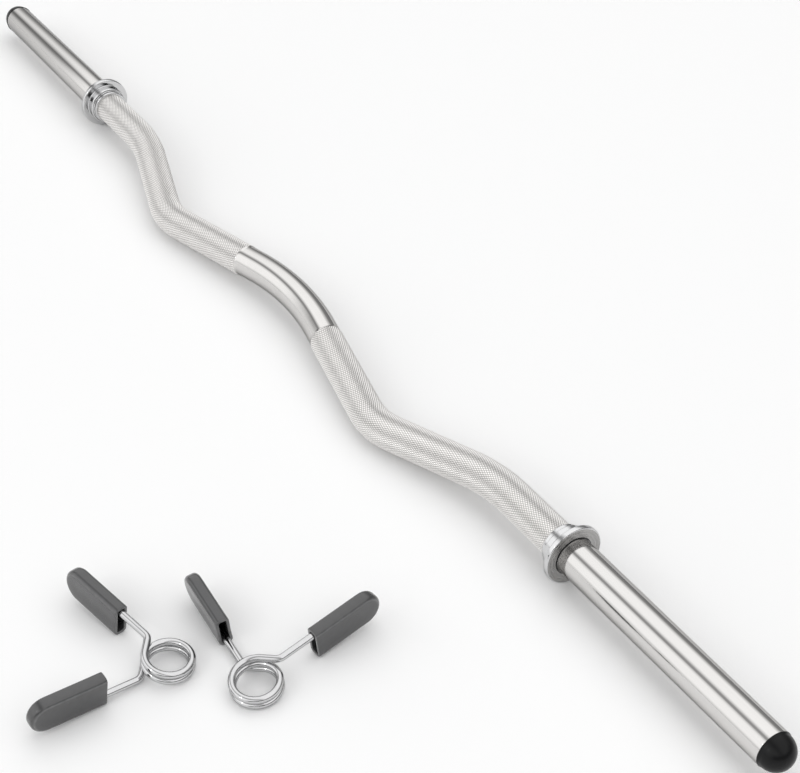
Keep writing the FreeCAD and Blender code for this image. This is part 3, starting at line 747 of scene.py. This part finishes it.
# The knurl starts where the straight run past the centre bend reaches its place along X
apex_length, _ = half_line[0]
knurl_start = apex_length + (KNURL_X - walk(half_line, apex_length)[0].x) / math.cos(INNER_SLOPE)
print("half of the bar's line is %.1f mm, its valley %.1f mm deep" % (half_length, valley_depth))

# %% [markdown]
# The knurl is a field of small diamonds, rolled into the bar by two wheels whose teeth run 30 degrees
# each way. A bump map would vanish at the bar's outline, so here each diamond is a real pyramid: rings
# whose points are high and low by turns like a chess board, with every square split along its two
# low corners. The smooth centre needs no such detail. Inside the sleeve each end is turned down to a
# bearing and then a pin, whose groove takes the retaining ring.

# %% Rings of the shaft
DIAMONDS_ROUND = 46
SHAFT_STEPS = 2 * DIAMONDS_ROUND
KNURL_ANGLE = math.radians(30)
KNURL_DEPTH = 0.42
KNURL_LEAD = 0.5
SMOOTH_STEP = 2.0
row_step = math.pi * KNURL_RADIUS / DIAMONDS_ROUND / math.tan(KNURL_ANGLE)
row_count = round((half_length - knurl_start - KNURL_LEAD) / row_step)
SPIGOT_RADIUS, BEARING_RADIUS, PIN_RADIUS, GROOVE_RADIUS, TIP_RADIUS = 12.0, 9.03, 6.03, 5.53, 5.23
BEARING_END, GROOVE_START, GROOVE_END, CHAMFER_START, PIN_END = 552, 553.5, 554.6, 556.8, 557.6
JOURNAL = [
    (shoulder_x, SPIGOT_RADIUS), (recess_x, SPIGOT_RADIUS), (recess_x, BEARING_RADIUS),
    (BEARING_END, BEARING_RADIUS), (BEARING_END, PIN_RADIUS), (GROOVE_START, PIN_RADIUS),
    (GROOVE_START, GROOVE_RADIUS), (GROOVE_END, GROOVE_RADIUS), (GROOVE_END, PIN_RADIUS),
    (CHAMFER_START, PIN_RADIUS), (PIN_END, TIP_RADIUS)]


def bar_ring(distance, radius):
    """A ring across the bend line, its points at one radius or at each their own."""
    spot, heading = walk(half_line, distance)
    angles = np.linspace(0, 2 * math.pi, SHAFT_STEPS, endpoint=False)
    out = radius * np.cos(angles)
    return np.stack([spot.x - math.sin(heading) * out, spot.y - line_end.y + math.cos(heading) * out,
                     radius * np.sin(angles)], axis=-1)


def half_rings():
    """Rings from the bar's middle to its end, and how deep in a groove each point is."""
    parity = np.arange(SHAFT_STEPS) % 2
    rings, grooves = [], []
    for distance in np.linspace(0, knurl_start, round(knurl_start / SMOOTH_STEP)).tolist():
        rings.append(bar_ring(distance, np.full(SHAFT_STEPS, SMOOTH_RADIUS)))
        grooves.append(np.zeros(SHAFT_STEPS))
    knurl_rows = np.linspace(knurl_start + KNURL_LEAD, half_length, row_count)
    for row, distance in enumerate(knurl_rows.tolist()):
        low = (parity + row) % 2
        rings.append(bar_ring(distance, KNURL_RADIUS - KNURL_DEPTH * low))
        grooves.append(low)
    for along, radius in JOURNAL:
        rings.append(bar_ring(half_length + along - shoulder_x, np.full(SHAFT_STEPS, radius)))
        rings[-1][:, 0] = along
        grooves.append(np.zeros(SHAFT_STEPS))
    return np.array(rings), np.array(grooves)


print("%d rows of diamonds on each side, %.2f mm apart" % (row_count, row_step))

# %% [markdown]
# The left half is the right one mirrored, and the two share the ring in the middle. The knurl's
# facets stay flat and get the frosted finish, and all the rest is smooth and bright. The material
# asks for each point's depth in the grooves, so the mesh keeps it as an attribute.

# %% Knurled shaft
def split_squares(quads, grooves):
    """Cut each square of the knurl along its low corners, and leave the others whole."""
    faces = []
    for quad, low in zip(quads.tolist(), grooves[quads].tolist()):
        first, second, third, fourth = quad
        if low[0] and low[2] and not low[1] and not low[3]:
            faces += [(first, second, third), (first, third, fourth)]
        elif low[1] and low[3] and not low[0] and not low[2]:
            faces += [(first, second, fourth), (second, third, fourth)]
        else:
            faces.append(quad)
    return faces


def make_shaft():
    right, grooves = half_rings()
    left = right[:0:-1] * (-1, 1, 1)
    rings = np.concatenate([left, right])
    depths = np.concatenate([grooves[:0:-1], grooves]).ravel()
    faces = split_squares(skin(len(rings), SHAFT_STEPS), depths) + end_faces(len(rings), SHAFT_STEPS)
    shaft = new_piece("bent_shaft", rings * MM, faces, chrome, "bar_chrome", "shaft")
    shaft.data.attributes.new("groove", "FLOAT", "POINT").data.foreach_set("value", depths)
    facets = [len(face.vertices) == 3 for face in shaft.data.polygons]
    shaft.data.materials.append(frosted)
    shaft.data.polygons.foreach_set("material_index", facets)
    shaft.data.polygons.foreach_set("use_smooth", [not facet for facet in facets])
    set_down(shaft, Matrix.Translation(axis_spot) @ Matrix.Rotation(lean, 4, "X"))
    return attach(shaft, "bar")


shaft = make_shaft()
print("a shaft of %d faces" % len(shaft.data.polygons))

# %% [markdown]
# ## The spring clips
#
# A clip is one wire. It winds twice round, its two ends leave the coil side by side and splay apart,
# and each ends in a hairpin inside a flat vinyl pouch. Squeezing the pouches unwinds the coil a
# little. The whole line is worked out in the clip's own frame, with Z along the coil's axis.

# %% The wire's line
WIRE_RADIUS, COIL_RADIUS, COIL_PITCH = 2.5, 15.7, 5.6
COIL_RUN, LEG_BEND_RADIUS, LEG_LENGTH = 9.5, 7, 24
HALF_SPLAY = math.radians(40)
GRIP_LENGTH, GRIP_HEIGHT, GRIP_THICKNESS = 54, 25, 10
HAIRPIN_RADIUS, HAIRPIN_RETURN = 7.5, 26
COIL_STEPS, BEND_STEPS, STRAIGHT_STEP = 72, 14, 2.0
UP = Vector((0, 0, 1))
leg_way = Vector((math.cos(HALF_SPLAY), -math.sin(HALF_SPLAY), 0))


def coil_spot(share):
    """Place on the coil, from -1 at its lower end to 1 at its upper end."""
    turn = -2 * math.pi * share
    return Vector((COIL_RADIUS * math.cos(turn), COIL_RADIUS * math.sin(turn), COIL_PITCH * share))


def straight(start, end):
    count = max(2, round((end - start).length / STRAIGHT_STEP))
    return [start.lerp(end, step / count) for step in range(1, count + 1)]


def arc(centre, start, end_way, turn):
    """Points from start round a centre, through an angle towards a way square to the start."""
    arm = start - centre
    side = end_way.normalized() * arm.length
    angles = [turn * step / BEND_STEPS for step in range(1, BEND_STEPS + 1)]
    return [centre + arm * math.cos(angle) + side * math.sin(angle) for angle in angles]


def upper_leg():
    """Points from the coil's upper end to the hairpin, and those of the hairpin itself."""
    leave = coil_spot(1)
    way = Vector((0, -1, COIL_PITCH / (2 * math.pi * COIL_RADIUS))).normalized()
    run_end = leave + way * COIL_RUN
    inward = (leg_way - way * leg_way.dot(way)).normalized()
    turn = way.angle(leg_way)
    leg = straight(leave, run_end) + arc(run_end + inward * LEG_BEND_RADIUS, run_end, way, turn)
    mouth = leg[-1] + leg_way * LEG_LENGTH
    hairpin = mouth + leg_way * (GRIP_LENGTH - GRIP_HEIGHT / 2)
    leg += straight(leg[-1], hairpin)
    middle = hairpin - UP * HAIRPIN_RADIUS
    loop = [hairpin] + arc(middle, hairpin, leg_way, math.pi)
    loop += straight(loop[-1], loop[-1] - leg_way * HAIRPIN_RETURN)
    return leg, loop, mouth


def turned_over(points):
    """The same points on the wire's other half."""
    return [Vector((x, -y, -z)) for x, y, z in points]


leg, hairpin_loop, grip_mouth = upper_leg()
coil = [coil_spot(step / COIL_STEPS) for step in range(-COIL_STEPS, COIL_STEPS + 1)]
open_wire = turned_over(leg)[::-1] + coil + leg
print("grip mouth %.1f mm out from the coil's middle" % grip_mouth.to_2d().length)

# %% [markdown]
# A tube along the line needs a frame at each point that doesn't twist on the way. Each frame is the
# one before it, turned only as much as the line turns there.

# %% Tubes
WIRE_STEPS = 24


def tube_rings(points, radius):
    """Rings of a round tube along points, each turned only as its line turns."""
    after, before = points[1:] + points[-1:], points[:1] + points[:-1]
    ways = [(end - start).normalized() for start, end in zip(before, after)]
    side = ways[0].orthogonal().normalized()
    angles = [2 * math.pi * step / WIRE_STEPS for step in range(WIRE_STEPS)]
    rings = []
    for i, (spot, way) in enumerate(zip(points, ways)):
        if i:
            side = ways[i - 1].rotation_difference(way) @ side
        other = way.cross(side)
        rings.append([spot + radius * (math.cos(angle) * side + math.sin(angle) * other)
                      for angle in angles])
    return np.array(rings)


def wire_piece(name, points, stance, node):
    rings = tube_rings(points, WIRE_RADIUS) * MM
    faces = skin(len(rings), WIRE_STEPS).tolist() + end_faces(len(rings), WIRE_STEPS)
    piece = new_piece(name, rings, faces, wire, "clip_wire", node)
    set_down(piece, stance)
    return piece


print("tubes of %d sides" % WIRE_STEPS)

# %% [markdown]
# On the floor a clip lies tilted: it rests on the far side of its coil and on the lower inner corner
# of each pouch. Those three feet give the way that ends upright, and the coil's joint in the
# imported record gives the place.

# %% How the clips lie
CLIP_HEADINGS = {"left": math.radians(234), "right": math.radians(137.5)}
grip_rise = grip_mouth.z - HAIRPIN_RADIUS
coil_foot = Vector((-COIL_RADIUS, 0, -COIL_PITCH / 2 - WIRE_RADIUS))
upper_foot = Vector((grip_mouth.x, grip_mouth.y, grip_rise - GRIP_HEIGHT / 2))
lower_foot = Vector((grip_mouth.x, -grip_mouth.y, -grip_rise - GRIP_HEIGHT / 2))
floor_way = (upper_foot - coil_foot).cross(lower_foot - coil_foot).normalized()


def clip_stance(side):
    """The clip's own frame, in the bar's."""
    upright = floor_way.rotation_difference(UP).to_matrix().to_4x4()
    spot = Vector(joints[side + "_clip_squeeze"]["pos_m"])
    return Matrix.Translation(spot) @ Matrix.Rotation(CLIP_HEADINGS[side], 4, "Z") @ upright


for side, _ in SIDES:
    axis = Vector(joints[side + "_clip_squeeze"]["axis"])
    lean_error = clip_stance(side).to_3x3().col[2].angle(axis)
    print("%s clip's coil axis is %.4f degrees from its joint's" % (side, math.degrees(lean_error)))

# %% [markdown]
# The pouch is a tongue with a round end and soft edges. Its surface is a stack of outlines, each set
# in a little from the last as the edge rounds over, and the skin between the pouch's wires sinks in
# a little. The same stack, smaller, makes the cavity, and the two join at the mouth in a round lip.
# Blender's bevel could round it, but it pinches where the rim is straight, so the lip has rows of its
# own.

# %% Stacked outlines
GRIP_EDGE, GRIP_WALL, CAVITY_EDGE = 3.2, 2.2, 1.6
LIP_ROUND, LIP_STEPS = 0.5, 3
SINK, SINK_STARTS = 0.45, 0.4
EDGE_STEPS, SIDE_STEPS, END_STEPS = 8, 14, 24
FACE_SHARES = (0.55, 0.75, 0.93)


def tongue_outline(length, half_height, inset):
    """Points along a tongue's edge from its mouth round its end and back, set in from the edge."""
    centre, reach_up = length - half_height, half_height - inset
    side_step = (centre - LIP_ROUND) / SIDE_STEPS
    line = [(LIP_ROUND + side_step * step, reach_up) for step in range(SIDE_STEPS)]
    for step in range(END_STEPS + 1):
        turn = math.pi * step / END_STEPS
        line.append((centre + reach_up * math.sin(turn), reach_up * math.cos(turn)))
    return line + [(along, -up) for along, up in line[SIDE_STEPS - 1::-1]]


def tongue_stack(length, half_height, half_thickness, edge, sink):
    """Outlines from one face of the tongue over its edge to the other."""
    levels = [(half_height * share, half_thickness - sink * (share - SINK_STARTS))
              for share in reversed(FACE_SHARES)]
    for step in range(EDGE_STEPS + 1):
        turn = math.pi / 2 * step / EDGE_STEPS
        levels.append((edge - edge * math.sin(turn), half_thickness - edge + edge * math.cos(turn)))
    levels += [(inset, -out) for inset, out in reversed(levels)]
    return [[(along, out, up) for along, up in tongue_outline(length, half_height, inset)]
            for inset, out in levels]


print("outlines with %d steps over each edge" % EDGE_STEPS)

# %% Pouch shape
def stack_skin(shape, stack):
    """Add the skin over a stack of outlines, and give back its open rim at the mouth."""
    lines = [[shape.verts.new(Vector(point) * MM) for point in outline] for outline in stack]
    for upper, lower in zip(lines, lines[1:]):
        for i in range(len(upper) - 1):
            shape.faces.new((upper[i], upper[i + 1], lower[i + 1], lower[i]))
    for line in (lines[0], lines[-1]):
        for i in range(len(line) // 2):
            strip = (line[i], line[i + 1], line[-2 - i], line[-1 - i])
            shape.faces.new(list(dict.fromkeys(strip)))
    return [line[0] for line in lines] + [line[-1] for line in reversed(lines)]


def lip_rows(shape, rim, other_rim):
    """Rows of points that round one rim of the mouth over, towards the other rim."""
    rows = [rim]
    for step in range(1, LIP_STEPS + 1):
        turn = math.pi / 2 * step / LIP_STEPS
        across, back = LIP_ROUND * (1 - math.cos(turn)), LIP_ROUND * math.sin(turn)
        row = []
        for vert, other in zip(rim, other_rim):
            inward = (other.co - vert.co).normalized()
            row.append(shape.verts.new(vert.co + MM * (across * inward - Vector((back, 0, 0)))))
        rows.append(row)
    return rows


def pouch_shape():
    shape = bmesh.new()
    half_height, half_thickness = GRIP_HEIGHT / 2, GRIP_THICKNESS / 2
    outer = tongue_stack(GRIP_LENGTH, half_height, half_thickness, GRIP_EDGE, SINK)
    inner = tongue_stack(GRIP_LENGTH - GRIP_WALL, half_height - GRIP_WALL, half_thickness - GRIP_WALL,
                         CAVITY_EDGE, 0)
    outer_rim, inner_rim = (stack_skin(shape, stack) for stack in (outer, inner))
    rows = lip_rows(shape, outer_rim, inner_rim) + lip_rows(shape, inner_rim, outer_rim)[::-1]
    for row, after in zip(rows, rows[1:]):
        for i in range(len(row)):
            shape.faces.new((row[i - 1], row[i], after[i], after[i - 1]))
    return shape


print("pouches of %d x %d x %d mm" % (GRIP_LENGTH, GRIP_HEIGHT, GRIP_THICKNESS))

# %% [markdown]
# The grips are painted paler along their shoulders, where the faces begin to round over, and at the
# cut lip: partly wear, partly a painted highlight on those edges. Pointiness could guess such places
# in the material, but here the shape is known, so each point gets its share as an attribute.

# %% Vinyl pouches
WEAR_HIGHLIGHT_ANGLE, WEAR_HIGHLIGHT_SPREAD = math.radians(22), math.radians(15)


def worn_and_highlit(points):
    """How much paler the skin is painted, from 0 to 1, at points of a pouch: wear and a painted
    highlight.
    """
    along, out, up = np.abs(points.T) / MM
    beyond = np.maximum(along - (GRIP_LENGTH - GRIP_HEIGHT / 2), 0)
    inset = GRIP_HEIGHT / 2 - np.hypot(beyond, up)
    over_edge = np.arctan2(GRIP_EDGE - inset, out - (GRIP_THICKNESS / 2 - GRIP_EDGE))
    outside = out > GRIP_THICKNESS / 2 - GRIP_WALL
    shoulder = outside * np.exp(-((over_edge - WEAR_HIGHLIGHT_ANGLE) / WEAR_HIGHLIGHT_SPREAD) ** 2)
    lip = np.clip(1 - along / LIP_ROUND, 0, 1)
    return np.maximum(shoulder, lip)


def pouch_piece(name, place, node):
    shape = pouch_shape()
    points = np.array([vert.co for vert in shape.verts])
    shape.verts.index_update()
    faces = [[vert.index for vert in face.verts] for face in shape.faces]
    shape.free()
    piece = new_piece(name, points, faces, vinyl, "grey_vinyl", node)
    piece.data.attributes.new("rub", "FLOAT", "POINT").data.foreach_set("value", worn_and_highlit(points))
    set_down(piece, place)
    return piece


print("rubbed most %.0f degrees over the edge" % math.degrees(WEAR_HIGHLIGHT_ANGLE))

# %% [markdown]
# The coil unwinds when the clip is squeezed, so its wire can ride on neither half alone. Here the
# wound wire is left where it lies, attached to neither. The hairpins are pieces of their own, because
# each stays in its pouch.

# %% Two clips
def make_clip(side):
    stance = clip_stance(side)
    node = side + "_clip_spring"
    wound = wire_piece(side + "_clip_wire", open_wire, stance, node)
    turn_room = (COIL_PITCH - WIRE_RADIUS) * MM
    middle, axis = stance.to_translation(), stance.to_3x3().col[2]
    middle - axis * turn_room
    middle + axis * turn_room
    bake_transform(wound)
    for level, sign, body in (("upper", 1, side + "_clip_lever"), ("lower", -1, side + "_clip")):
        name = "%s_clip_%s" % (side, level)
        loop = hairpin_loop if sign > 0 else turned_over(hairpin_loop)
        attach(wire_piece(name + "_hairpin", loop, stance, node), body)
        mouth = Vector((grip_mouth.x, sign * grip_mouth.y, sign * grip_rise)) * MM
        place = stance @ Matrix.Translation(mouth) @ Matrix.Rotation(-sign * HALF_SPLAY, 4, "Z")
        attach(pouch_piece(name + "_pouch", place, name + "_grip"), body)


for side, _ in SIDES:
    make_clip(side)
clip_pieces = [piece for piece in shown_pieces() if piece.name.startswith("left_clip")]
print("two clips of %d pieces each" % len(clip_pieces))
